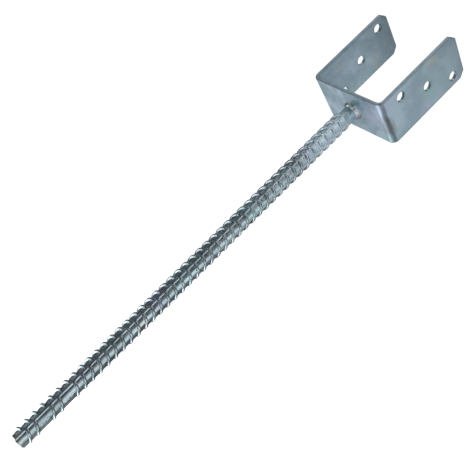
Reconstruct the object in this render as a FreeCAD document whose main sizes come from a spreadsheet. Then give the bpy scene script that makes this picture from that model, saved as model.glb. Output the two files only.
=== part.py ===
import FreeCAD, Part
import math
import os
import re
import Sketcher
from FreeCAD import Placement, Rotation, Vector

# Post anchor spike: a folded steel saddle for a square post, welded on top of a ribbed bar that is cast
# into concrete. Millimetres. The origin is the middle of the seat, the face of the saddle's base that the
# post stands on. +Z is up the post, X runs from arm to arm and Y across the strip.

PARTS_FOLDER = "parts"

# Driving dimensions: the sheet's alias, its value and what it measures.
DIMENSIONS = [
    ("strip_width", 60, "width of the folded strip, along Y"),
    ("strip_thickness", 4, "thickness of the strip"),
    ("seat_width", 101, "clear width between the arms"),
    ("saddle_height", 120, "from the base's underside to the arm tops"),
    ("bend_radius", 4, "inner radius of both bends"),
    ("corner_cut", 7, "leg of the 45 degree cuts at the arm tops"),
    ("hole_dia", 11, "fixing holes"),
    ("hole_side", 18, "from the strip's centre line to an outer hole"),
    ("hole_middle", 62, "from the seat up to the middle hole"),
    ("hole_step", 37, "height from one hole to the next"),
    ("bar_length", 500, "ribbed bar, from the base's underside to its end"),
    ("core_dia", 17.6, "ribbed bar between its ribs"),
    ("end_break", 1.5, "chamfer round the bar's lower end"),
    ("keel_turn", -72, "turn of the first longitudinal rib from +X, in degrees"),
    ("keel_start", 8, "from the bar's top to the start of the longitudinal ribs"),
    ("keel_crest", 1.8, "width of a longitudinal rib at its crest"),
    ("keel_root", 3.2, "width of a longitudinal rib at its root"),
    ("keel_height", 1.1, "height of a longitudinal rib above the core"),
    ("rib_pitch", 10.66, "spacing of the transverse ribs"),
    ("low_lean", 31, "tilt of the planes of the ribs in the lower row, in degrees"),
    ("high_lean", 45, "tilt of the planes of the ribs in the higher row, in degrees"),
    ("rib_crest", 1.3, "width of a transverse rib at its crest"),
    ("rib_root", 3.2, "width of a transverse rib at its root"),
    ("rib_fade", 0.45, "height of a transverse rib at its ends, as a share of its middle"),
    ("rib_bury", 0.45, "depth of a transverse rib's root below the core's surface"),
    ("rib_low", 1.5, "height at mid-length of the ribs of the lower row"),
    ("rib_high", 3.2, "height at mid-length of the ribs of the higher row"),
    ("low_row_drop", 19.6, "from the bar's top to the first rib of the lower row"),
    ("high_row_drop", 26.1, "from the bar's top to the first rib of the higher row"),
    ("mark_turn", 65, "turn of the mill marks from the first longitudinal rib, in degrees"),
    ("mark_length", 2.4, "length of one dash of a mill mark, along the bar"),
    ("mark_width", 1.2, "width of one dash of a mill mark"),
    ("mark_height", 0.6, "height of one dash of a mill mark above the core"),
    ("mark_gap", 1.4, "gap between the dashes of a mill mark"),
    ("weld_reach", 4, "leg of the weld along the base's underside"),
    ("weld_drop", 5, "leg of the weld down the bar"),
    ("weld_crown", 7, "radius of the weld's convex face"),
]

# Runs of ribs in the lower row, each the index of its first rib and how many follow at one pitch. Where a
# run stops, one rib's place is left free for a rolled mill mark.
LOW_ROW_RUNS = [(0, 39), (40, 2), (43, 2)]
HIGH_ROW_RUNS = [(0, 46)]

doc = FreeCAD.newDocument("PostAnchorSpike")


def make_sheet():
    """The sheet that holds the driving dimensions, one row each: name, value, meaning."""
    made = doc.addObject("Spreadsheet::Sheet", "Dimensions")
    for row, (alias, value, meaning) in enumerate(DIMENSIONS, start=1):
        made.set(f"A{row}", alias)
        made.set(f"B{row}", str(value))
        made.set(f"C{row}", meaning)
        made.setAlias(f"B{row}", alias)
    doc.recompute()


def make_gauge():
    """A helper whose one property takes an expression and reads out its value."""
    made = doc.addObject("App::FeaturePython", "Gauge")
    made.addProperty("App::PropertyFloat", "Reading")
    return made


make_sheet()
gauge = make_gauge()


def ref(expression):
    """An expression with every driving dimension's name pointed at the sheet."""
    names = "|".join(alias for alias, _, _ in DIMENSIONS)
    return re.sub(rf"\b({names})\b", r"Dimensions.\1", expression)


def number(expression):
    """What an expression in the driving dimensions is worth now."""
    gauge.setExpression("Reading", ref(expression))
    gauge.recompute()
    return gauge.Reading


def make_body(label):
    """An empty body that will hold one sub-part."""
    body = doc.addObject("PartDesign::Body", label)
    body.Label = label
    return body


def origin_feature(body, role):
    """One of the body's own origin planes or axes."""
    return next(f for f in body.Origin.OriginFeatures if f.Role == role)


def make_sketch(body, name, plane="XY_Plane"):
    """A sketch on one of its body's origin planes."""
    sketch = body.newObject("Sketcher::SketchObject", name)
    sketch.AttachmentSupport = [(origin_feature(body, plane), "")]
    sketch.MapMode = "FlatFace"
    return sketch


def fix_point(sketch, edge, end, x, y):
    """Holds one end of an edge at coordinates given as expressions."""
    for kind, value, axis in (("DistanceX", x, -2), ("DistanceY", y, -1)):
        if value == "0":
            sketch.addConstraint(Sketcher.Constraint("PointOnObject", edge, end, axis))
            continue
        made = sketch.addConstraint(Sketcher.Constraint(kind, -1, 1, edge, end, number(value)))
        sketch.setExpression(f"Constraints[{made}]", ref(value))


def arc_between(start, end, radius):
    """The shorter counter-clockwise arc from start to end."""
    middle = (start + end) / 2
    half = (end - start).Length / 2
    inward = Vector(start.y - end.y, end.x - start.x, 0).normalize()
    centre = middle + inward * math.sqrt(max(radius**2 - half**2, 0))
    angles = [math.atan2(p.y - centre.y, p.x - centre.x) for p in (start, end)]
    if angles[1] < angles[0]:
        angles[1] += 2 * math.pi
    return Part.ArcOfCircle(Part.Circle(centre, Vector(0, 0, 1), radius), *angles)


def draw_outline(sketch, corners):
    """Closes an outline through corners, each (x, y) or, where an arc leads on, (x, y, radius, turn).

    All of them are expressions. The turn is "left" for a counter-clockwise arc and "right" for the other.
    """
    points = [Vector(number(c[0]), number(c[1]), 0) for c in corners]
    first = sketch.GeometryCount
    for i, corner in enumerate(corners):
        start, end = points[i], points[(i + 1) % len(points)]
        if len(corner) == 2:
            sketch.addGeometry(Part.LineSegment(start, end), False)
            continue
        radius = number(corner[2])
        arc = arc_between(start, end, radius) if corner[3] == "left" else arc_between(end, start, radius)
        sketch.addGeometry(arc, False)
    starts = [2 if len(c) == 4 and c[3] == "right" else 1 for c in corners]
    for i, corner in enumerate(corners):
        fix_point(sketch, first + i, starts[i], corner[0], corner[1])
        after = (i + 1) % len(corners)
        joint = Sketcher.Constraint("Coincident", first + i, 3 - starts[i], first + after, starts[after])
        sketch.addConstraint(joint)
        if len(corner) == 4:
            size = Sketcher.Constraint("Radius", first + i, number(corner[2]))
            made = sketch.addConstraint(size)
            sketch.setExpression(f"Constraints[{made}]", ref(corner[2]))


def draw_circle(sketch, x, y, radius):
    """A circle with its centre and radius given as expressions."""
    centre = Vector(number(x), number(y), 0)
    edge = sketch.addGeometry(Part.Circle(centre, Vector(0, 0, 1), number(radius)), False)
    made = sketch.addConstraint(Sketcher.Constraint("Radius", edge, number(radius)))
    sketch.setExpression(f"Constraints[{made}]", ref(radius))
    fix_point(sketch, edge, 3, x, y)


def add_cut(body, sketch, name, reverse=False, both=False):
    """A pocket through everything on one side of its sketch, or on both; it has to remove material."""
    doc.recompute()
    before = body.Shape.Volume
    cut = body.newObject("PartDesign::Pocket", name)
    cut.Profile = sketch
    cut.Type = "ThroughAll"
    cut.Reversed = reverse
    cut.Midplane = both
    body.Tip = cut
    doc.recompute()
    if not body.Shape.Volume < before:
        raise RuntimeError(f"{name} cuts nothing")
    return cut


def saddle_profile():
    """Corners of the folded strip's end view, in X and Z, counter-clockwise from the right arm's top."""
    inner = "seat_width / 2"
    outer = "seat_width / 2 + strip_thickness"
    flat = "seat_width / 2 - bend_radius"
    top = "saddle_height - strip_thickness"
    outer_bend = "bend_radius + strip_thickness"
    return [
        (inner, top),
        (inner, "bend_radius", "bend_radius", "right"),
        (flat, "0"),
        (f"-({flat})", "0", "bend_radius", "right"),
        (f"-({inner})", "bend_radius"),
        (f"-({inner})", top),
        (f"-({outer})", top),
        (f"-({outer})", "bend_radius", outer_bend, "left"),
        (f"-({flat})", "-strip_thickness"),
        (flat, "-strip_thickness", outer_bend, "left"),
        (outer, "bend_radius"),
        (outer, top),
    ]


def make_saddle():
    """The strip folded into a U, with three holes in each arm and cut corners at the arm tops."""
    body = make_body("u_saddle")
    profile = make_sketch(body, "SaddleProfile", "XZ_Plane")
    draw_outline(profile, saddle_profile())
    strip = body.newObject("PartDesign::Pad", "FoldedStrip")
    strip.Profile = profile
    strip.Midplane = True
    strip.setExpression("Length", ref("strip_width"))
    body.Tip = strip

    corners = make_sketch(body, "CornerCuts", "YZ_Plane")
    top = "saddle_height - strip_thickness"
    shoulder = "saddle_height - strip_thickness - corner_cut"
    draw_outline(corners, [
        ("strip_width / 2", shoulder),
        ("strip_width / 2", top),
        ("strip_width / 2 - corner_cut", top),
    ])
    draw_outline(corners, [
        ("-strip_width / 2", shoulder),
        ("corner_cut - strip_width / 2", top),
        ("-strip_width / 2", top),
    ])
    add_cut(body, corners, "CutCorners", both=True)

    # The rows of holes lean opposite ways, so only the middle holes face each other.
    for arm, lean, reverse in (("Right", "", True), ("Left", "-", False)):
        holes = make_sketch(body, arm + "Holes", "YZ_Plane")
        draw_circle(holes, f"{lean}(-hole_side)", "hole_middle - hole_step", "hole_dia / 2")
        draw_circle(holes, "0", "hole_middle", "hole_dia / 2")
        draw_circle(holes, f"{lean}(hole_side)", "hole_middle + hole_step", "hole_dia / 2")
        add_cut(body, holes, arm + "ArmHoles", reverse=reverse)
    return body


def add_core(body):
    """The round core of the bar, square at the top and chamfered round the lower end."""
    profile = make_sketch(body, "CoreProfile", "XZ_Plane")
    draw_outline(profile, [
        ("0", "0"),
        ("0", "-bar_length"),
        ("core_dia / 2 - end_break", "-bar_length"),
        ("core_dia / 2", "end_break - bar_length"),
        ("core_dia / 2", "0"),
    ])
    core = body.newObject("PartDesign::Revolution", "Core")
    core.Profile = profile
    core.ReferenceAxis = (profile, ["V_Axis"])
    core.Angle = 360
    body.Tip = core


def add_keels(body):
    """The two longitudinal ribs, opposite each other."""
    section = make_sketch(body, "KeelSection")
    section.setExpression("AttachmentOffset.Base.z", ref("-keel_start"))
    root = "core_dia / 2 - keel_height / 2"
    crest = "core_dia / 2 + keel_height"
    draw_outline(section, [
        (root, "-keel_root / 2"),
        (crest, "-keel_crest / 2"),
        (crest, "keel_crest / 2"),
        (root, "keel_root / 2"),
    ])
    keel = body.newObject("PartDesign::Pad", "Keel")
    keel.Profile = section
    keel.Reversed = True
    keel.setExpression("Length", ref("bar_length - keel_start - end_break"))
    body.Tip = keel
    doc.recompute()
    pair = body.newObject("PartDesign::PolarPattern", "Keels")
    pair.Originals = [keel]
    pair.Axis = (origin_feature(body, "Z_Axis"), [""])
    pair.Angle = 360
    pair.Occurrences = 2
    body.Tip = pair
    doc.recompute()


def rib_section(body, name, row, drop, offset, end_rise, crown_rise):
    """One cross-section of a transverse rib: an arc closed by its chord, on a leaning plane.

    The plane crosses the bar's axis at drop below the top, and the section lies offset along the plane's
    normal. The arc's ends and its crown stand end_rise and crown_rise clear of the core.
    """
    _, side, lean, _, _ = row
    section = make_sketch(body, name)
    section.AttachmentOffset = Placement(Vector(0, 0, 0), Rotation(Vector(0, 1, 0), -number(lean)))
    section.setExpression("AttachmentOffset.Rotation.Angle", ref(f"-({lean})"))
    section.setExpression("AttachmentOffset.Base.x", ref(f"-({offset}) * sin({lean})"))
    section.setExpression("AttachmentOffset.Base.z", ref(f"({offset}) * cos({lean}) - ({drop})"))
    end = f"(core_dia / 2 / cos({lean}) + {end_rise})"
    crown = f"(core_dia / 2 + {crown_rise})"
    radius = f"({end} * {end} + {crown} * {crown}) / (2 * {crown})"
    ends = [end, f"-{end}"] if side > 0 else [f"-{end}", end]
    draw_outline(section, [(ends[0], "0", radius, "left"), (ends[1], "0")])
    return section


def add_rib_run(body, row, first, count):
    """Ribs of one row at one pitch: a rib with sloping flanks, repeated down the bar."""
    label, _, _, first_drop, rise = row
    name = f"{label}Rib{first}"
    drop = f"{first_drop} + {first} * rib_pitch"
    root = ("-rib_bury", "-rib_bury")
    crest = (f"rib_fade * {rise}", rise)
    levels = [
        ("-rib_root / 2", root),
        ("-rib_crest / 2", crest),
        ("rib_crest / 2", crest),
        ("rib_root / 2", root),
    ]
    sections = [
        rib_section(body, f"{name}Section{i}", row, drop, offset, *rises)
        for i, (offset, rises) in enumerate(levels)
    ]
    rib = body.newObject("PartDesign::AdditiveLoft", name)
    rib.Profile = sections[0]
    rib.Sections = sections[1:]
    rib.Ruled = True
    body.Tip = rib
    doc.recompute()
    run = body.newObject("PartDesign::LinearPattern", name + "Run")
    run.Originals = [rib]
    run.Direction = (origin_feature(body, "Z_Axis"), [""])
    run.Reversed = True
    run.setExpression("Length", ref(f"{count - 1} * rib_pitch"))
    run.Occurrences = count
    body.Tip = run
    doc.recompute()


def add_mill_marks(body):
    """Three raised dashes in each place that the lower row leaves free."""
    upright = Vector(0, 0, 1)
    free = [first - 1 for first, _ in LOW_ROW_RUNS[1:]]
    for place in free:
        for step in (-1, 0, 1):
            dash = body.newObject("PartDesign::AdditiveBox", f"MillDash{place}_{step + 1}")
            dash.setExpression("Length", ref("core_dia / 2 + mark_height"))
            dash.setExpression("Width", ref("mark_width"))
            dash.setExpression("Height", ref("mark_length"))
            dash.AttachmentSupport = [(origin_feature(body, "XY_Plane"), "")]
            dash.MapMode = "FlatFace"
            dash.AttachmentOffset = Placement(Vector(0, 0, 0), Rotation(upright, number("mark_turn")))
            dash.setExpression("AttachmentOffset.Rotation.Angle", ref("mark_turn"))
            dash.setExpression("AttachmentOffset.Base.x", ref("sin(mark_turn) * mark_width / 2"))
            dash.setExpression("AttachmentOffset.Base.y", ref("-cos(mark_turn) * mark_width / 2"))
            middle = f"-low_row_drop - {place} * rib_pitch + {step} * (mark_length + mark_gap)"
            dash.setExpression("AttachmentOffset.Base.z", ref(f"{middle} - mark_length / 2"))
            body.Tip = dash
    doc.recompute()


def square_end(body):
    """Cuts off the parts of the last ribs that would pass the bar's lower end."""
    section = make_sketch(body, "BarEnd")
    section.setExpression("AttachmentOffset.Base.z", ref("-bar_length"))
    draw_circle(section, "0", "0", "core_dia")
    add_cut(body, section, "SquareEnd")


def make_rod():
    """The ribbed bar, modelled upright below its own origin and then turned and hung from the base."""
    body = make_body("ribbed_rod")
    add_core(body)
    add_keels(body)
    # A row: its name, the side of the bar it is on, its lean, where it starts and its height.
    low_row = ("Low", 1, "low_lean", "low_row_drop", "rib_low")
    high_row = ("High", -1, "high_lean", "high_row_drop", "rib_high")
    for row, runs in ((low_row, LOW_ROW_RUNS), (high_row, HIGH_ROW_RUNS)):
        for first, count in runs:
            add_rib_run(body, row, first, count)
    add_mill_marks(body)
    square_end(body)
    body.Placement = Placement(Vector(0, 0, 0), Rotation(Vector(0, 0, 1), number("keel_turn")))
    body.setExpression("Placement.Base.z", ref("-strip_thickness"))
    body.setExpression("Placement.Rotation.Angle", ref("keel_turn"))
    return body


def make_weld():
    """The fillet weld: a ring with a convex face, between the bar's side and the base's underside."""
    body = make_body("weld_bead")
    profile = make_sketch(body, "WeldSection", "XZ_Plane")
    draw_outline(profile, [
        ("core_dia / 2", "-strip_thickness"),
        ("core_dia / 2", "-strip_thickness - weld_drop", "weld_crown", "left"),
        ("core_dia / 2 + weld_reach", "-strip_thickness"),
    ])
    ring = body.newObject("PartDesign::Revolution", "WeldRing")
    ring.Profile = profile
    ring.ReferenceAxis = (profile, ["V_Axis"])
    ring.Angle = 360
    body.Tip = ring
    return body


def check_document():
    """Stops if any object failed to build."""
    doc.recompute()
    for made in doc.Objects:
        if {"Invalid", "Error"} & set(made.State):
            raise RuntimeError(f"{made.Label} failed: {made.State}")


def write_parts(bodies):
    """Writes each sub-part to its own STEP file, once every one of them is sound."""
    for body in bodies:
        if body.Shape.isNull() or not body.Shape.isValid() or len(body.Shape.Solids) != 1:
            raise RuntimeError(f"{body.Label} is not one sound solid")
    os.makedirs(PARTS_FOLDER, exist_ok=True)
    for body in bodies:
        body.Shape.exportStep(f"{PARTS_FOLDER}/{body.Label}.step")
        box = body.Shape.optimalBoundingBox()
        size = " x ".join(f"{length:.1f}" for length in (box.XLength, box.YLength, box.ZLength))
        print(f"{body.Label}: {size} mm, {body.Shape.Volume / 1000:.1f} cm3")


bodies = [make_saddle(), make_rod(), make_weld()]
check_document()
write_parts(bodies)
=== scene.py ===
import math

import bmesh
import bpy
from mathutils import Matrix, Vector, noise
from mathutils.geometry import delaunay_2d_cdt


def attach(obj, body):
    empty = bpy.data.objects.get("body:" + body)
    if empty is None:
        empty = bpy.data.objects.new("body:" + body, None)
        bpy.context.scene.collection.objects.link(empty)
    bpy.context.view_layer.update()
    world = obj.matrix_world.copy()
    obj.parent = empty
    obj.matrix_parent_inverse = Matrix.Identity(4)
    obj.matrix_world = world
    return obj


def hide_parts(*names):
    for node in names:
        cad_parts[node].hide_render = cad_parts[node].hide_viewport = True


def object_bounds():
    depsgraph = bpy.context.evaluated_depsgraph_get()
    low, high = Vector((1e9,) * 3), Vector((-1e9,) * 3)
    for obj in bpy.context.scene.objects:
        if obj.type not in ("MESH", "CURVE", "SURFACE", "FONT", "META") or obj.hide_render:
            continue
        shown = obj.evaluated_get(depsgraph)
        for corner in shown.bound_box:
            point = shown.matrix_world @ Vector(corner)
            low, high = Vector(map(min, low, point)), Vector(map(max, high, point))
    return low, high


# A galvanised post anchor spike: a punched and folded strip, a hot-rolled ribbed bar and the weld that
# joins them. The pieces are in millimetres and become metres when a mesh is made. The materials, the floor
# and the lamps are in metres.

MM = 0.001

# The folded strip.
HALF_WIDTH = 30.0
THICKNESS = 4.0
HALF_SEAT = 50.5
BEND_RADIUS = 4.0
SWELL = 0.010
ARM_TOP = 116.0
CORNER_CUT = 7.0
HOLE_RADIUS = 5.5
HOLE_SIDE = 18.0
HOLE_HEIGHTS = (25.0, 62.0, 99.0)
HOLE_POINTS = 48
CORNER_ROUND = 2.4
CORNER_STEPS = 4
FLAT_STEPS = 6
BEND_STEPS = 12
ARM_STEPS = 14

# The ribbed bar. Angles are round its own axis, from the first longitudinal rib.
BAR_TOP = -4.0
BAR_LENGTH = 500.0
CORE_RADIUS = 8.8
END_BREAK = 1.5
KEEL_TURN = math.radians(-72)
KEEL_START = 8.0
KEEL_HEIGHT = 1.1
KEEL_CREST = 0.9
KEEL_ROOT = 1.7
PITCH = 10.66
RIB_CREST = 0.7
RIB_ROOT = 1.5
# Each row of transverse ribs: the tilt of its ribs' planes, where it starts, its height and its count.
LOW_ROW = (math.radians(31), 19.6, 1.5, 45)
HIGH_ROW = (math.radians(45), 26.1, 3.2, 46)
RIB_FADE = 0.45
# A mill mark is three raised dashes in a place that the lower row leaves free. Each dash has half-widths
# at its crest and at its root, across the bar and along it.
FREE_PLACES = (39, 42)
DASH_ANGLE = math.radians(65)
DASH_STEP = 3.8
DASH_HEIGHT = 0.6
DASH_ACROSS = (0.35, 1.0)
DASH_ALONG = (0.7, 1.7)
# Painted shade: beside a longitudinal rib and on the saddle side of a transverse rib. Each is a distance
# from the rib's middle, with half-widths where the painted shade is darkest and where it ends. The first
# sets in gradually between two depths below the bar's top.
KEEL_SHADE_OFFSET = 2.0
KEEL_SHADE_HALF = (0.5, 1.1)
KEEL_SHADE_START = 20
KEEL_SHADE_FULL = 60
RIB_SHADE_OFFSET = 1.15
RIB_SHADE_HALF = (0.35, 0.75)
WEAR = 0.05

# The weld: how far it reaches out along the base and down the bar, and how far it sinks into each.
WELD_REACH = 4.0
WELD_DROP = 5.0
SINK_IN_BAR = 0.4
SINK_IN_BASE = 0.1
WELD_AROUND = 288
WELD_STEPS = 16
RIPPLES = 22
RIPPLE_HEIGHT = 0.12
LUMP_HEIGHT = 0.9
BULGE = 0.6

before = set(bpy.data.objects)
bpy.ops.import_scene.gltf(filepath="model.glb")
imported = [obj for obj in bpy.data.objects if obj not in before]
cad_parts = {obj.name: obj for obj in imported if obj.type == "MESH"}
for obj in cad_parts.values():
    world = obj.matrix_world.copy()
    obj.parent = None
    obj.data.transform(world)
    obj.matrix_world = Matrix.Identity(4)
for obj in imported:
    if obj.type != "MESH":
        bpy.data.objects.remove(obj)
cad_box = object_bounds()


def ease(low, high, value):
    """A smooth step from 0 at low to 1 at high."""
    t = min(max((value - low) / (high - low), 0.0), 1.0)
    return t * t * (3 - 2 * t)


def plateau(distance, crest, root):
    """1 within crest of the middle, falling smoothly to 0 at root."""
    return 1 - ease(crest, root, abs(distance))


def finish_mesh(bm, name, marks=None):
    """Turns a bmesh in millimetres into a smooth object; marks is a list of one value per vertex."""
    bmesh.ops.recalc_face_normals(bm, faces=bm.faces)
    mesh = bpy.data.meshes.new(name)
    bm.to_mesh(mesh)
    bm.free()
    mesh.transform(Matrix.Scale(MM, 4))
    mesh.shade_smooth()
    if marks:
        layer = mesh.attributes.new("edge", "FLOAT", "POINT")
        layer.data.foreach_set("value", marks)
    made = bpy.data.objects.new(name, mesh)
    bpy.context.scene.collection.objects.link(made)
    return made


# ---------------------------------------------------------------- the folded strip

NEUTRAL = BEND_RADIUS + THICKNESS / 2
HALF_FLAT = HALF_SEAT - BEND_RADIUS
BEND_LENGTH = NEUTRAL * math.pi / 2
ARM_START = HALF_FLAT + BEND_LENGTH
HALF_BLANK = ARM_START + ARM_TOP - BEND_RADIUS

# The rounded rim of a sheared edge: how far in from the edge, and how deep below the inner face.
RIM = (
    (2.2, 0.0), (0.75, 0.0), (0.42, 0.05), (0.18, 0.2), (0.04, 0.45), (0.0, 0.8),
    (0.0, 2.0), (0.0, 3.4), (0.06, 3.72), (0.2, 3.9), (0.42, 3.98), (0.7, 4.0), (2.2, 4.0),
)


def fold(along, across, depth):
    """Folds a point of the flat blank: along its length, across it, and below its inner face."""
    side = math.copysign(1.0, along)
    reach = abs(along)
    if reach <= HALF_FLAT:
        return Vector((along, across, -depth))
    if reach >= ARM_START:
        return Vector((side * (HALF_SEAT + depth), across, BEND_RADIUS + reach - ARM_START))
    turn = (reach - HALF_FLAT) / NEUTRAL
    # The strip is a little wider on the inside of a bend, and not on the outside.
    swell = SWELL * math.sin(2 * turn) * (1 - depth / THICKNESS)
    radius = BEND_RADIUS + depth
    return Vector((
        side * (HALF_FLAT + radius * math.sin(turn)),
        across * (1 + swell),
        BEND_RADIUS - radius * math.cos(turn),
    ))


def blank_stations():
    """Places along the blank where its long edges need a vertex: evenly on flats, closely on bends."""
    half = [HALF_FLAT * i / FLAT_STEPS for i in range(FLAT_STEPS + 1)]
    half += [HALF_FLAT + BEND_LENGTH * i / BEND_STEPS for i in range(1, BEND_STEPS + 1)]
    span = HALF_BLANK - CORNER_CUT - ARM_START
    half += [ARM_START + span * i / ARM_STEPS for i in range(1, ARM_STEPS)]
    return [-s for s in reversed(half[1:])] + half


def direction(degrees):
    """The unit vector at an angle in the flat blank."""
    angle = math.radians(degrees)
    return Vector((math.cos(angle), math.sin(angle)))


def outline_loop(stations):
    """The blank's outline as (point, outward normal) pairs, with cut corners, counter-clockwise."""
    loop = [(Vector((s, -HALF_WIDTH)), Vector((0, -1))) for s in stations]
    for turn in (0, 1):
        flip = -1 if turn else 1
        sides = [
            (Vector((HALF_BLANK - CORNER_CUT, -HALF_WIDTH)), (-90, -45)),
            (Vector((HALF_BLANK, CORNER_CUT - HALF_WIDTH)), (-45, 0)),
            (Vector((HALF_BLANK, HALF_WIDTH - CORNER_CUT)), (0, 45)),
            (Vector((HALF_BLANK - CORNER_CUT, HALF_WIDTH)), (45, 90)),
        ]
        for corner, (first, last) in sides:
            middle = direction((first + last) / 2)
            centre = corner - middle * CORNER_ROUND / math.cos(math.radians((last - first) / 2))
            for i in range(CORNER_STEPS + 1):
                out = direction(first + (last - first) * i / CORNER_STEPS)
                loop.append(((centre + out * CORNER_ROUND) * flip, out * flip))
        if turn == 0:
            loop += [(Vector((s, HALF_WIDTH)), Vector((0, 1))) for s in reversed(stations)]
    return loop


def hole_loops():
    """Every punched hole as (point, normal into the hole) pairs."""
    loops = []
    for side in (1, -1):
        for step, height in enumerate(HOLE_HEIGHTS):
            centre = Vector((side * (ARM_START + height - BEND_RADIUS), side * (step - 1) * HOLE_SIDE))
            loop = []
            for i in range(HOLE_POINTS):
                out = direction(360 * i / HOLE_POINTS)
                loop.append((centre + out * HOLE_RADIUS, -out))
            loops.append(loop)
    return loops


def make_saddle():
    """The strip, cut and punched flat and then folded, with soft rims on every sheared edge."""
    stations = blank_stations()
    loops = [outline_loop(stations)] + hole_loops()
    bm = bmesh.new()
    marks = []
    first_rings = []
    last_rings = []
    flat_points = []
    for loop in loops:
        # The sheared outline is dull; the punched holes have cleaner walls.
        dullness = 1.0 if loop is loops[0] else 0.15
        rings = []
        for inset, depth in RIM:
            ring = []
            for point, normal in loop:
                spot = point - normal * inset
                ring.append(bm.verts.new(fold(spot.x, spot.y, depth)))
                marks.append(dullness * plateau(inset, 0.3, 1.6))
            rings.append(ring)
        for upper, lower in zip(rings, rings[1:]):
            for i in range(len(loop)):
                j = (i + 1) % len(loop)
                bm.faces.new((upper[i], upper[j], lower[j], lower[i]))
        first_rings += rings[0]
        last_rings += rings[-1]
        flat_points.append([point - normal * RIM[0][0] for point, normal in loop])
    add_caps(bm, flat_points, first_rings, last_rings, stations)
    return finish_mesh(bm, "folded_strip", marks)


def add_caps(bm, flat_points, first_rings, last_rings, stations):
    """Fills both broad faces between their rims, with edges straight across the base and its bends."""
    points = [p for loop in flat_points for p in loop]
    edges = []
    start = 0
    for loop in flat_points:
        edges += [(start + i, start + (i + 1) % len(loop)) for i in range(len(loop))]
        start += len(loop)
    lower = {round(p.x, 4): i for i, p in enumerate(flat_points[0]) if p.y < 0}
    upper = {round(p.x, 4): i for i, p in enumerate(flat_points[0]) if p.y > 0}
    for s in stations:
        key = round(s, 4)
        if abs(s) <= ARM_START + 0.001 and key in lower and key in upper:
            edges.append((lower[key], upper[key]))
    _, _, triangles, origin, _, _ = delaunay_2d_cdt(points, edges, [], 1, 1e-5)
    owners = [number for number, loop in enumerate(flat_points) for _ in loop]
    for triangle in triangles:
        corners = [origin[i][0] for i in triangle]
        touched = {owners[i] for i in corners}
        # A triangle whose corners all lie on one hole's rim lies inside that hole.
        if len(touched) == 1 and touched != {0}:
            continue
        bm.faces.new([first_rings[i] for i in corners])
        bm.faces.new([last_rings[i] for i in reversed(corners)])


# ---------------------------------------------------------------- the ribbed bar


def rib_height(angle, level):
    """Height of the transverse ribs above the core at an angle round the bar and a level below its top."""
    low_side = angle % math.tau < math.pi
    lean, drop, crown, count = LOW_ROW if low_side else HIGH_ROW
    place = (math.tan(lean) * CORE_RADIUS * math.cos(angle) - level - drop) / PITCH
    nearest = min(max(round(place), 0), count - 1)
    if low_side and nearest in FREE_PLACES:
        return 0.0
    distance = (place - nearest) * PITCH * math.cos(lean)
    arch = RIB_FADE + (1 - RIB_FADE) * abs(math.sin(angle)) ** 1.3
    return crown * arch * plateau(distance, RIB_CREST, RIB_ROOT)


def keel_height(angle, level):
    """Height of the two longitudinal ribs."""
    off = math.remainder(angle, math.pi) * CORE_RADIUS
    return KEEL_HEIGHT * plateau(off, KEEL_CREST, KEEL_ROOT) * ease(KEEL_START - 2, KEEL_START + 3, -level)


def dash_height(angle, level):
    """Height of the mill's raised dashes where the lower row leaves a place free."""
    off = (angle - DASH_ANGLE) * CORE_RADIUS
    if abs(off) > DASH_ACROSS[1]:
        return 0.0
    height = 0.0
    for place in FREE_PLACES:
        middle = -LOW_ROW[1] - place * PITCH
        for step in (-1, 0, 1):
            along = level - middle - step * DASH_STEP
            height = max(height, DASH_HEIGHT * plateau(off, *DASH_ACROSS) * plateau(along, *DASH_ALONG))
    return height


def painted_rib_shade(angle, level):
    """1 where shade is painted in the corners beside the ribs, 0 clear of them."""
    beside = math.remainder(angle, math.pi) * CORE_RADIUS + KEEL_SHADE_OFFSET
    keel_shade = plateau(beside, *KEEL_SHADE_HALF) * ease(KEEL_SHADE_START, KEEL_SHADE_FULL, -level)
    low_side = angle % math.tau < math.pi
    lean, drop, _, count = LOW_ROW if low_side else HIGH_ROW
    place = (math.tan(lean) * CORE_RADIUS * math.cos(angle) - level - drop) / PITCH
    nearest = min(max(round(place), 0), count - 1)
    if low_side and nearest in FREE_PLACES:
        return keel_shade
    above = (nearest - place) * PITCH * math.cos(lean) - RIB_SHADE_OFFSET
    return max(keel_shade, plateau(above, *RIB_SHADE_HALF))


def bar_radius(angle, level):
    """Radius of the bar's surface, in its own upright frame."""
    rise = max(keel_height(angle, level), rib_height(angle, level), dash_height(angle, level))
    wear = noise.noise(Vector((math.cos(angle) * 3, math.sin(angle) * 3, level * 0.21)))
    return CORE_RADIUS + rise + WEAR * wear


# Half the angle over which the grid passes from one row of ribs to the other.
BLEND = math.radians(24)


def row_level(angle, row):
    """Level of a grid row at an angle. Rows run along the ribs, and step over where the two rows meet."""
    share = ease(-BLEND, BLEND, math.remainder(angle, math.tau)) * ease(-BLEND, BLEND, math.pi - angle)
    low = math.tan(LOW_ROW[0]) * CORE_RADIUS * math.cos(angle) - LOW_ROW[1]
    high = math.tan(HIGH_ROW[0]) * CORE_RADIUS * math.cos(angle) - HIGH_ROW[1]
    return high + (low - high) * share - PITCH * row


# The grid of the bar's skin: its columns, and its rows as shares of a pitch, close together on a rib.
COLUMNS = 112
ROW_STEPS = (
    0.0, 0.05, 0.085, 0.115, 0.145, 0.18, 0.24, 0.36,
    0.5, 0.64, 0.76, 0.82, 0.855, 0.885, 0.915, 0.95,
)
PITCHES_ABOVE = 4
PITCHES_BELOW = 47
# The bar's flat ends have an inner ring at this share of the rim's radius.
CAP_SHARE = 0.6
# Levels above the bar's lower end that get a ring of edges, and how far up the chamfer's cone cuts.
END_RINGS = (0.35, 0.9, END_BREAK, 2.2)
CONE_TOP = 2.5


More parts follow.
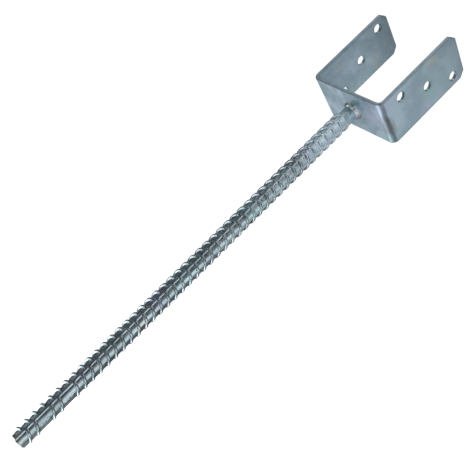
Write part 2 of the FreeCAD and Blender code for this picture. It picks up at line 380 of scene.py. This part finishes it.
def make_bar():
    """The bar's skin on a grid that follows the ribs, trimmed square at the top and chamfered below."""
    rows = [turn + step for turn in range(-PITCHES_ABOVE, PITCHES_BELOW) for step in ROW_STEPS]
    angles = [math.tau * k / COLUMNS for k in range(COLUMNS)]
    bm = bmesh.new()
    grid = []
    for row in rows:
        ring = []
        for angle in angles:
            level = row_level(angle, row)
            radius = bar_radius(angle, level)
            ring.append(bm.verts.new((radius * math.cos(angle), radius * math.sin(angle), level)))
        grid.append(ring)
    for here, below in zip(grid, grid[1:]):
        for k in range(COLUMNS):
            after = (k + 1) % COLUMNS
            bm.faces.new((here[k], here[after], below[after], below[k]))
    trim(bm, 0, 1)
    trim(bm, -BAR_LENGTH, -1)
    for above in END_RINGS:
        cut_round(bm, above - BAR_LENGTH)
    chamfer(bm)
    # Each vertex's mark says how much shade is painted there beside the ribs.
    marks = [painted_rib_shade(math.atan2(v.co.y, v.co.x), v.co.z) for v in bm.verts]
    for vert in bm.verts:
        vert.co = Matrix.Rotation(KEEL_TURN, 3, "Z") @ vert.co + Vector((0, 0, BAR_TOP))
    return finish_mesh(bm, "rolled_bar", marks)


def everything(bm):
    """All of a bmesh's geometry, as its cutting tool wants it."""
    return bm.verts[:] + bm.edges[:] + bm.faces[:]


def trim(bm, level, side):
    """Cuts the bar square at a level, drops what lies on that side, and closes the end."""
    bmesh.ops.bisect_plane(
        bm, geom=everything(bm), dist=0.001, plane_co=(0, 0, level), plane_no=(0, 0, side), clear_outer=True
    )
    loose = [v for v in bm.verts if not v.link_faces]
    bmesh.ops.delete(bm, geom=loose, context="VERTS")
    rim = [e for e in bm.edges if len(e.link_faces) == 1 and all(abs(v.co.z - level) < 0.01 for v in e.verts)]
    ring = bmesh.ops.extrude_edge_only(bm, edges=rim)
    inner = [g for g in ring["geom"] if isinstance(g, bmesh.types.BMVert)]
    for vert in inner:
        vert.co.x *= CAP_SHARE
        vert.co.y *= CAP_SHARE
    hub = bm.verts.new((0, 0, level))
    for edge in [g for g in ring["geom"] if isinstance(g, bmesh.types.BMEdge)]:
        if all(v in inner for v in edge.verts):
            bm.faces.new((edge.verts[0], edge.verts[1], hub))


def cut_round(bm, level):
    """Adds a ring of edges round the bar at a level."""
    near = [f for f in bm.faces if min(v.co.z for v in f.verts) < level < max(v.co.z for v in f.verts)]
    geometry = set(near)
    for face in near:
        geometry.update(face.edges)
        geometry.update(face.verts)
    bmesh.ops.bisect_plane(bm, geom=list(geometry), dist=0.001, plane_co=(0, 0, level), plane_no=(0, 0, 1))


def chamfer(bm):
    """Breaks the edge round the bar's lower end."""
    for vert in bm.verts:
        above = vert.co.z + BAR_LENGTH
        radius = math.hypot(vert.co.x, vert.co.y)
        limit = CORE_RADIUS - END_BREAK + above
        if above < CONE_TOP and radius > limit:
            vert.co.x *= limit / radius
            vert.co.y *= limit / radius


# ---------------------------------------------------------------- the weld


def make_weld():
    """The fillet weld: a convex bead round the bar, laid in overlapping ripples, its toes uneven."""
    bm = bmesh.new()
    rings = []
    for k in range(WELD_AROUND):
        angle = math.tau * k / WELD_AROUND
        out = Vector((math.cos(angle), math.sin(angle), 0))
        slow = noise.noise(out * 1.3 + Vector((4, 1, 7)))
        quick = noise.noise(out * 4.5)
        reach = WELD_REACH * (0.80 + 0.25 * slow + 0.22 * quick)
        drop = WELD_DROP * (0.85 + 0.30 * slow - 0.25 * quick)
        ring = []
        for i in range(WELD_STEPS + 1):
            t = i / WELD_STEPS
            crest = math.sin(math.pi * t)
            phase = angle * RIPPLES + 1.1 * crest + 1.5 * quick
            ripple = RIPPLE_HEIGHT * abs(math.sin(phase / 2)) ** 0.7 * crest
            lump = LUMP_HEIGHT * noise.noise(out * 5 + Vector((0, 0, t * 2))) * crest
            bulge = BULGE * crest + ripple + lump
            radius = CORE_RADIUS - SINK_IN_BAR + (reach + SINK_IN_BAR) * (1 - t) + bulge * 0.7
            depth = -SINK_IN_BASE + (drop + SINK_IN_BASE) * t + bulge * 0.6
            ring.append(bm.verts.new(out * radius + Vector((0, 0, BAR_TOP - depth))))
        # The corner where the base meets the bar closes the bead, out of sight.
        hidden = out * (CORE_RADIUS - SINK_IN_BAR) + Vector((0, 0, BAR_TOP + SINK_IN_BASE))
        ring.append(bm.verts.new(hidden))
        rings.append(ring)
    for k in range(WELD_AROUND):
        here, after = rings[k], rings[(k + 1) % WELD_AROUND]
        for i in range(len(here)):
            j = (i + 1) % len(here)
            bm.faces.new((here[i], after[i], after[j], here[j]))
    return finish_mesh(bm, "weld_ripples")


# ---------------------------------------------------------------- materials


class Nodes:
    """Builds one node material, a node at a time."""

    def __init__(self, name):
        self.material = bpy.data.materials.new(name)
        self.material.use_nodes = True
        self.tree = self.material.node_tree
        self.shader = self.tree.nodes["Principled BSDF"]

    def add(self, kind, inputs=None, **settings):
        """A new node with its settings and inputs; an input is a value or another node's output."""
        node = self.tree.nodes.new(kind)
        for key, value in settings.items():
            setattr(node, key, value)
        for key, value in (inputs or {}).items():
            self.set(node, key, value)
        return node

    def set(self, node, key, value):
        """Sets an input to a value, or links it to an output."""
        if isinstance(value, bpy.types.NodeSocket):
            self.tree.links.new(value, node.inputs[key])
        else:
            node.inputs[key].default_value = value

    def position(self, shift=(0, 0, 0)):
        """Object coordinates, shifted."""
        where = self.add("ShaderNodeTexCoord").outputs["Object"]
        return self.add("ShaderNodeMapping", {"Vector": where, "Location": shift}).outputs["Vector"]

    def noise(self, scale, detail=4.0, rough=0.55, shift=(0, 0, 0)):
        """A noise value from 0 to 1."""
        where = self.position(shift)
        settings = {"Vector": where, "Scale": scale, "Detail": detail, "Roughness": rough}
        return self.add("ShaderNodeTexNoise", settings).outputs["Fac"]

    def span(self, value, low, high, to_low=0.0, to_high=1.0):
        """Maps a range of a value to another range, clamped."""
        settings = {"Value": value, "From Min": low, "From Max": high, "To Min": to_low, "To Max": to_high}
        return self.add("ShaderNodeMapRange", settings, interpolation_type="SMOOTHSTEP").outputs["Result"]

    def mix(self, share, first, second):
        """A blend of two colours."""
        node = self.add("ShaderNodeMix", data_type="RGBA")
        self.set(node, 0, share)
        self.set(node, 6, first)
        self.set(node, 7, second)
        return node.outputs[2]

    def math(self, operation, first, second):
        """One arithmetic step."""
        node = self.add("ShaderNodeMath", operation=operation)
        self.set(node, 0, first)
        self.set(node, 1, second)
        return node.outputs[0]


# Faint tints in the zinc: a noise's scale, detail and shift, the range of it that shows, how strongly, and
# the colour. Positions in the materials are in metres.
VIOLET = (17, 2, (0.31, 0.12, 0.05), 0.50, 0.66, 0.55, (0.56, 0.58, 0.78, 1))
TEAL = (21, 2, (0.07, 0.83, 0.44), 0.54, 0.70, 0.45, (0.42, 0.62, 0.64, 1))
TAN = (33, 3, (0.57, 0.21, 0.93), 0.58, 0.72, 0.42, (0.58, 0.55, 0.48, 1))


def zinc(name, light, dark, polish):
    """Hot-dip zinc: broad mottling with faint tints, a fine spangle, specks and a slightly uneven gloss."""
    make = Nodes(name)
    broad = make.span(make.noise(26, 3), 0.38, 0.62)
    cloud = make.span(make.noise(95, 4, 0.6), 0.35, 0.65)
    cells = make.add("ShaderNodeTexVoronoi", {"Vector": make.position(), "Scale": 420.0})
    grain = make.span(make.noise(900, 2), 0.3, 0.7)
    flake = make.add("ShaderNodeSeparateColor", {"Color": cells.outputs["Color"]}).outputs["Red"]
    tone = make.math("MULTIPLY", broad, 0.48)
    tone = make.math("ADD", tone, make.math("MULTIPLY", cloud, 0.26))
    tone = make.math("ADD", tone, make.math("MULTIPLY", flake, 0.16))
    tone = make.math("ADD", tone, make.math("MULTIPLY", grain, 0.10))
    colour = make.mix(tone, dark, light)
    for scale, detail, shift, low, high, strength, tint in (VIOLET, TEAL, TAN):
        patch = make.span(make.noise(scale, detail, 0.5, shift=shift), low, high)
        colour = make.mix(make.math("MULTIPLY", patch, strength), colour, tint)
    speck = make.span(make.noise(560, 2, 0.5), 0.68, 0.76)
    make.colour = make.mix(make.math("MULTIPLY", speck, 0.45), colour, (0.24, 0.28, 0.30, 1))
    make.set(make.shader, "Metallic", 1.0)
    gloss = make.math("ADD", make.math("MULTIPLY", cloud, 0.10), make.math("MULTIPLY", flake, 0.06))
    make.rough = make.math("ADD", gloss, polish)
    make.set(make.shader, "Roughness", make.rough)
    height = make.math("ADD", make.math("MULTIPLY", cloud, 0.6), make.math("MULTIPLY", grain, 0.12))
    bump = make.add("ShaderNodeBump", {"Height": height, "Strength": 0.35, "Distance": 0.0004})
    make.set(make.shader, "Normal", bump.outputs["Normal"])
    return make


def weld_burn(make, axes, smoke_and_shade):
    """1 on the base's underside close to the weld, broken up by smoke, 0 elsewhere."""
    flat = make.add("ShaderNodeCombineXYZ", {"X": axes.outputs["X"], "Y": axes.outputs["Y"]})
    off = make.add("ShaderNodeVectorMath", {0: flat.outputs["Vector"]}, operation="LENGTH").outputs["Value"]
    near = make.span(off, 0.011, 0.024, 1.0, 0.0)
    below = make.span(axes.outputs["Z"], -0.0040, -0.0015, 1.0, 0.0)
    return make.math("MULTIPLY", make.math("MULTIPLY", near, below), smoke_and_shade)


def painted_bend_shade(make, axes, smoke_and_shade):
    """1 where shade is painted along the right bend's outer radius, wider towards the back, 0 elsewhere."""
    across = make.math("ABSOLUTE", make.math("SUBTRACT", axes.outputs["X"], 0.0515), 0.0)
    breadth = make.span(axes.outputs["Y"], -0.018, 0.012, 0.0014, 0.0062)
    band = make.span(make.math("DIVIDE", across, breadth), 0.3, 1.3, 1.0, 0.0)
    front = make.span(axes.outputs["Y"], -0.020, -0.008)
    back = make.span(axes.outputs["Y"], 0.012, 0.021, 1.0, 0.0)
    low = make.span(axes.outputs["Z"], 0.003, 0.008, 1.0, 0.0)
    bend_shade = make.math("MULTIPLY", make.math("MULTIPLY", band, low), make.math("MULTIPLY", front, back))
    return make.math("MULTIPLY", bend_shade, make.span(smoke_and_shade, 0.0, 0.6, 0.35, 1.0))


def painted_tip_shade(make, axes):
    """How much shade is painted on the arms towards their tips, the left arm more than the right."""
    depth = make.span(axes.outputs["X"], -0.05, 0.05, 0.95, 0.42)
    return make.math("MULTIPLY", make.span(axes.outputs["Z"], 0.060, 0.125), depth)


def strip_material():
    """Zinc on rolled strip: dull sheared edges, burnt zinc round the weld, and painted shade towards the arm
    tips and along a bend.
    """
    make = zinc("zinc_on_strip", (0.56, 0.71, 0.82, 1), (0.29, 0.41, 0.48, 1), 0.34)
    edge = make.add("ShaderNodeAttribute", attribute_name="edge").outputs["Fac"]
    axes = make.add("ShaderNodeSeparateXYZ", {"Vector": make.position()})
    # A noise that breaks up both the burnt zinc round the weld and the painted bend shade.
    smoke_and_shade = make.span(make.noise(130, 4, 0.6), 0.25, 0.6)
    colour = make.mix(make.math("MULTIPLY", edge, 0.72), make.colour, (0.20, 0.26, 0.30, 1))
    burnt = make.math("MULTIPLY", weld_burn(make, axes, smoke_and_shade), 0.16)
    colour = make.mix(burnt, colour, (0.20, 0.20, 0.19, 1))
    # Painted shade along the right bend's outer radius.
    bend_shade = make.math("MULTIPLY", painted_bend_shade(make, axes, smoke_and_shade), 0.50)
    colour = make.mix(bend_shade, colour, (0.15, 0.15, 0.14, 1))
    # Painted shade, darker towards the arm tips.
    colour = make.mix(painted_tip_shade(make, axes), colour, (0.24, 0.32, 0.37, 1))
    make.set(make.shader, "Base Color", colour)
    return make.material


def bar_material():
    """Zinc on a rolled bar: bright and uneven, duller and paler near the weld, with painted shade beside its
    ribs.
    """
    make = zinc("zinc_on_bar", (0.60, 0.74, 0.80, 1), (0.32, 0.40, 0.44, 1), 0.20)
    axes = make.add("ShaderNodeSeparateXYZ", {"Vector": make.position()})
    dull = make.span(axes.outputs["Z"], -0.100, -0.050, 0.0, 1.0)
    colour = make.mix(make.math("MULTIPLY", dull, 0.62), make.colour, (0.70, 0.88, 1.0, 1))
    # The edge mark is where shade is painted beside the ribs; it is painted more weakly near the weld.
    root = make.span(make.add("ShaderNodeAttribute", attribute_name="edge").outputs["Fac"], 0.0, 1.0)
    shade = make.math("MULTIPLY", root, make.span(dull, 0.0, 1.0, 0.60, 0.25))
    colour = make.mix(shade, colour, (0.08, 0.10, 0.11, 1))
    make.set(make.shader, "Base Color", colour)
    make.set(make.shader, "Roughness", make.math("ADD", make.rough, make.math("MULTIPLY", dull, 0.05)))
    make.set(make.shader, "Metallic", make.span(dull, 0.0, 1.0, 1.0, 0.62))
    return make.material


def weld_material():
    """Zinc over a rough bead, with patches of soot."""
    make = zinc("zinc_on_weld", (0.94, 0.98, 1.0, 1), (0.62, 0.70, 0.74, 1), 0.30)
    soot = make.span(make.noise(300, 3, 0.6, shift=(0.2, 0.5, 0.9)), 0.54, 0.64)
    colour = make.mix(make.math("MULTIPLY", soot, 0.40), make.colour, (0.05, 0.06, 0.06, 1))
    make.set(make.shader, "Base Color", colour)
    return make.material


# ---------------------------------------------------------------- stage


FLOOR_SIZE = 40
FLOOR_GAP = 0.05


def make_floor():
    """A pale floor below the bar's lower end, which neither lights nor shades the object."""
    level = cad_box[0][2] - FLOOR_GAP
    bm = bmesh.new()
    bmesh.ops.create_grid(bm, x_segments=8, y_segments=8, size=FLOOR_SIZE)
    mesh = bpy.data.meshes.new("studio_floor")
    bm.to_mesh(mesh)
    bm.free()
    made = bpy.data.objects.new("studio_floor", mesh)
    made.location = (0, 0, level)
    bpy.context.scene.collection.objects.link(made)
    material = bpy.data.materials.new("pale_floor")
    material.use_nodes = True
    shader = material.node_tree.nodes["Principled BSDF"]
    shader.inputs["Base Color"].default_value = (0.9, 0.9, 0.9, 1)
    shader.inputs["Roughness"].default_value = 0.9
    shader.inputs["Emission Color"].default_value = (1, 1, 1, 1)
    shader.inputs["Emission Strength"].default_value = 1.0
    mesh.materials.append(material)
    made.visible_glossy = False
    made.visible_diffuse = False
    made.visible_shadow = False
    return made


def heading(azimuth, elevation):
    """The unit vector at an azimuth and an elevation in degrees."""
    level = math.cos(math.radians(elevation))
    return Vector((
        level * math.cos(math.radians(azimuth)),
        level * math.sin(math.radians(azimuth)),
        math.sin(math.radians(elevation)),
    ))


def make_world():
    """A white backdrop that lights the object only dimly."""
    world = bpy.data.worlds.new("studio")
    world.use_nodes = True
    tree = world.node_tree
    tree.nodes.clear()
    out = tree.nodes.new("ShaderNodeOutputWorld")
    seen = tree.nodes.new("ShaderNodeBackground")
    seen.inputs["Color"].default_value = (1, 1, 1, 1)
    seen.inputs["Strength"].default_value = 1.05
    room = tree.nodes.new("ShaderNodeBackground")
    room.inputs["Color"].default_value = (0.95, 0.98, 1, 1)
    room.inputs["Strength"].default_value = 0.10
    path = tree.nodes.new("ShaderNodeLightPath")
    mix = tree.nodes.new("ShaderNodeMixShader")
    tree.links.new(path.outputs["Is Camera Ray"], mix.inputs[0])
    tree.links.new(room.outputs[0], mix.inputs[1])
    tree.links.new(seen.outputs[0], mix.inputs[2])
    tree.links.new(mix.outputs[0], out.inputs["Surface"])
    bpy.context.scene.world = world


LAMP_TARGET = Vector((0, 0, -0.15))
LAMP_DISTANCE = 2.0

# Each lamp's name, its azimuth and elevation in degrees, its size in metres and its power in watts.
LAMPS = (
    ("key", 4, -2, 1.5, 7.5),
    ("front", 53, 24, 1.4, 4.3),
    ("turn", 72, -38, 1.6, 2.2),
    ("fill", 138, -18, 1.2, 1.7),
    ("edge", 220, -27, 1.0, 1.0),
    ("rim", 226, 28, 1.3, 2.2),
    ("below", 128, -73, 2.0, 32),
    ("above", -62, 42, 1.6, 11),
    ("low", -22, -27, 1.1, 3.2),
    ("crown", -27, 28, 1.1, 2.4),
    ("left", -122, 42, 1.4, 4.5),
    ("sky", 60, 78, 1.5, 3),
)


def softbox(name, azimuth, elevation, size, power):
    """A large square lamp that faces a point on the bar."""
    turn = heading(azimuth, elevation)
    data = bpy.data.lights.new(name, "AREA")
    data.shape = "SQUARE"
    data.size = size
    data.energy = power
    lamp = bpy.data.objects.new(name, data)
    lamp.location = LAMP_TARGET + turn * LAMP_DISTANCE
    lamp.rotation_euler = turn.to_track_quat("Z", "Y").to_euler()
    bpy.context.scene.collection.objects.link(lamp)


# The camera: where it stands, which way it looks, how far it is rolled, its lens and its sideways shift.
CAMERA_AT = Vector((542.9, -537.6, -307.0)) * MM
CAMERA_AZIMUTH = 133.499
CAMERA_RISE = 10.365
CAMERA_ROLL = 44.991
LENS = 55.19
SHIFT = (-0.0752, 0)


def make_camera():
    """The camera, low beside the bar and rolled so that the bar runs from corner to corner."""
    ahead = heading(CAMERA_AZIMUTH, CAMERA_RISE)
    level_right = ahead.cross(Vector((0, 0, 1))).normalized()
    level_up = level_right.cross(ahead)
    roll = math.radians(CAMERA_ROLL)
    right = level_right * math.cos(roll) + level_up * math.sin(roll)
    up = right.cross(ahead)
    data = bpy.data.cameras.new("camera")
    data.sensor_width = 36
    data.lens = LENS
    data.shift_x, data.shift_y = SHIFT
    camera = bpy.data.objects.new("camera", data)
    turn = Matrix((right, up, -ahead)).transposed()
    camera.matrix_world = Matrix.Translation(CAMERA_AT) @ turn.to_4x4()
    bpy.context.scene.collection.objects.link(camera)
    bpy.context.scene.camera = camera


def place(piece, node, slot, material):
    """Puts a finished piece on the object in place of a CAD node."""
    piece.data.materials.append(material)
    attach(piece, "root")
    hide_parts(node)


bpy.context.scene.view_settings.view_transform = "Standard"
place(make_saddle(), "u_saddle", "galvanised_strip", strip_material())
place(make_bar(), "ribbed_rod", "galvanised_bar", bar_material())
place(make_weld(), "weld_bead", "galvanised_weld", weld_material())

make_floor()
make_world()
for lamp in LAMPS:
    softbox(*lamp)
make_camera()
